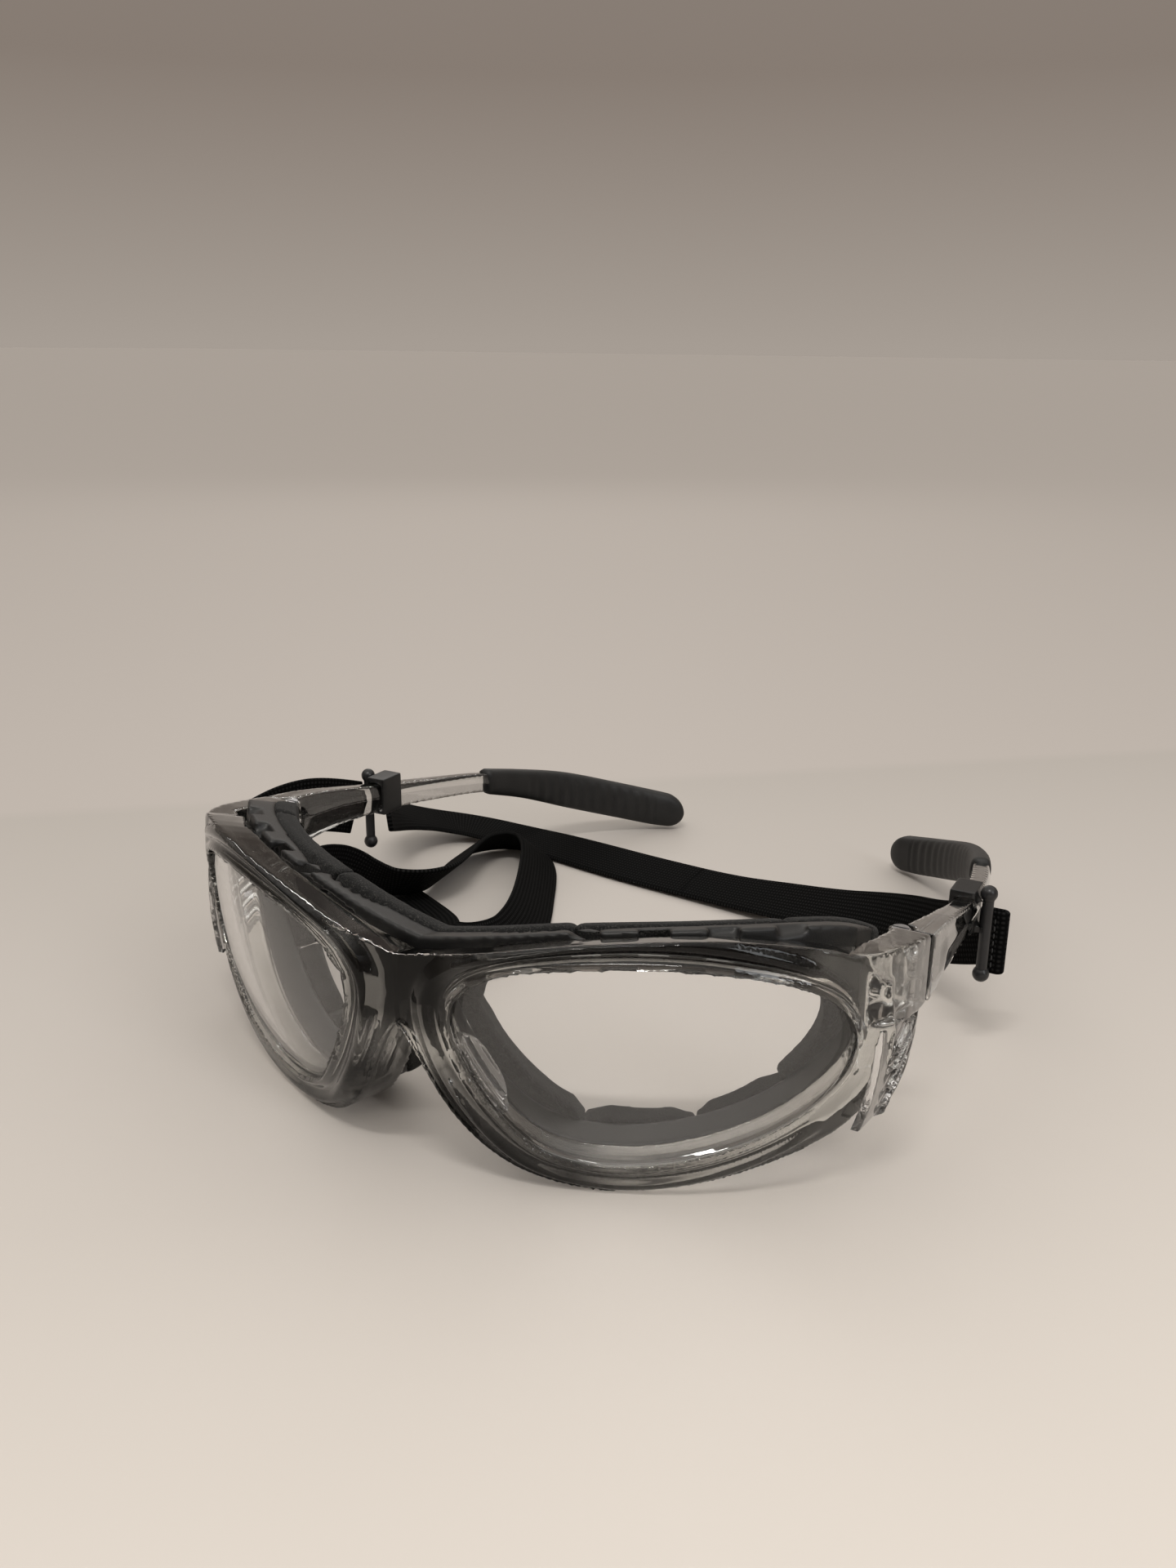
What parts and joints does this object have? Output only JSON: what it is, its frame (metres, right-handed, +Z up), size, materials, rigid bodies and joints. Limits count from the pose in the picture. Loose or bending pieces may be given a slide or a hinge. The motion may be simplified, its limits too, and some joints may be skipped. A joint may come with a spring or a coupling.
{
  "type": "safety goggles",
  "caption": "Wrap-round safety goggles with clear lenses, a lift-out foam-lined gasket, folding arms with soft tips and an elastic headband.",
  "frame": {"origin": "middle of the footprint of the rigid pieces, on the table surface", "axes": "+X is the wearer's left, +Y runs from the lenses back towards the temple tips, +Z is up"},
  "size_m": [0.1545, 0.167, 0.0442],
  "materials": {
    "frame_plastic": "glossy see-through smoke grey",
    "lens_clear": "clear polished",
    "clear_pad": "clear, soft gloss",
    "gasket_rubber": "satin",
    "foam": "closed-cell foam with a cloth face",
    "screw_steel": "dull",
    "temple_plastic": "glossy see-through light grey",
    "tip_rubber": "satin",
    "clip_plastic": "satin black",
    "bar_plastic": "satin dark grey",
    "webbing": "woven elastic"
  },
  "bodies": {
    "front": {"front_frame": "frame_plastic", "left_hinge_screw": "screw_steel", "left_lens": "lens_clear", "left_nose_pad": "clear_pad", "left_side_shield": "frame_plastic", "right_hinge_screw": "screw_steel", "right_lens": "lens_clear", "right_nose_pad": "clear_pad", "right_side_shield": "frame_plastic", "strap_left_half": "webbing", "strap_right_half": "webbing", "strap_tail": "webbing"},
    "gasket_insert": {"bridge_foam": "foam", "gasket_carrier": "gasket_rubber", "left_brow_foam": "foam", "left_inner_cheek_foam": "foam", "left_middle_cheek_foam": "foam", "left_outer_cheek_foam": "foam", "left_temple_foam": "foam", "right_brow_foam": "foam", "right_inner_cheek_foam": "foam", "right_middle_cheek_foam": "foam", "right_outer_cheek_foam": "foam", "right_temple_foam": "foam"},
    "left_temple": {"left_strap_bar": "bar_plastic", "left_strap_clip": "clip_plastic", "left_temple": "temple_plastic", "left_temple_tip": "tip_rubber", "strap_sewn_end": "webbing"},
    "right_temple": {"right_strap_bar": "bar_plastic", "right_strap_clip": "clip_plastic", "right_temple": "temple_plastic", "right_temple_tip": "tip_rubber"}
  },
  "joints": [
    {"name": "left_temple_fold", "type": "hinge", "parent": "front", "child": "left_temple", "pos_m": [0.061, -0.0335, 0.0304], "axis": [0, 0, 1], "range_deg": [0, 74], "deforming": ["strap_left_half", "strap_right_half", "strap_tail"]},
    {"name": "right_temple_fold", "type": "hinge", "parent": "front", "child": "right_temple", "pos_m": [-0.061, -0.0335, 0.0304], "axis": [0, 0, -1], "range_deg": [0, 60], "deforming": ["strap_left_half", "strap_right_half", "strap_tail"]},
    {"name": "gasket_pull", "type": "slide", "parent": "front", "child": "gasket_insert", "axis": [0, 1, 0], "range_m": [0, 0.003]}
  ]
}
